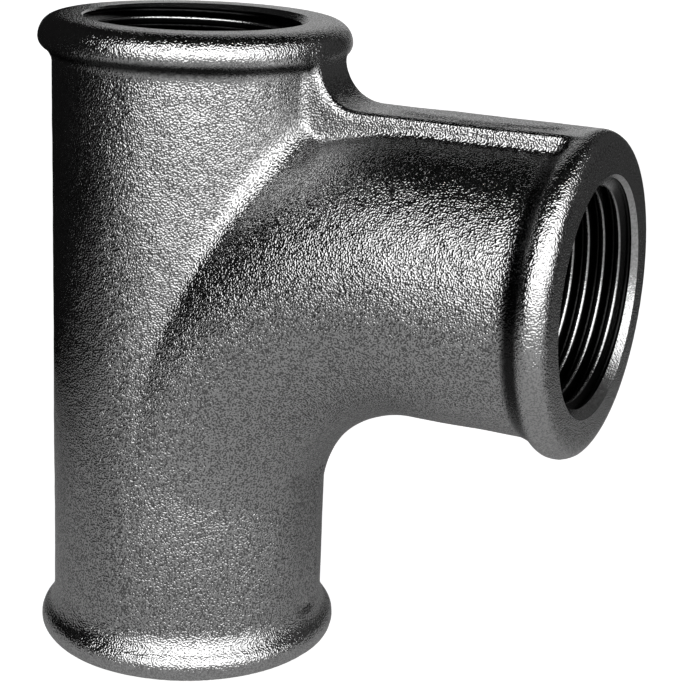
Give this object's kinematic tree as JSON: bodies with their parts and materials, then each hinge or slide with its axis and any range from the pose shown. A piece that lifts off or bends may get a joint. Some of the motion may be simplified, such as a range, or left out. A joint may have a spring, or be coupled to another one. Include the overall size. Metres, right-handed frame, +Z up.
{
  "type": "pipe tee",
  "caption": "Swept pipe tee of cast iron: a straight run with a branch that leaves it in a long bend, all ends beaded and threaded inside, for joining a side pipe to a pipe run.",
  "frame": {"origin": "centre of the bottom end face, on the axis of the run", "axes": "+Z up along the run towards its short end, +X along the branch towards its open end, +Y square to the parting plane, away from the camera"},
  "size_m": [0.0869, 0.0458, 0.096],
  "materials": {
    "iron": "black, as cast, rough"
  },
  "bodies": {
    "root": {"tee_body": "iron"}
  },
  "joints": []
}
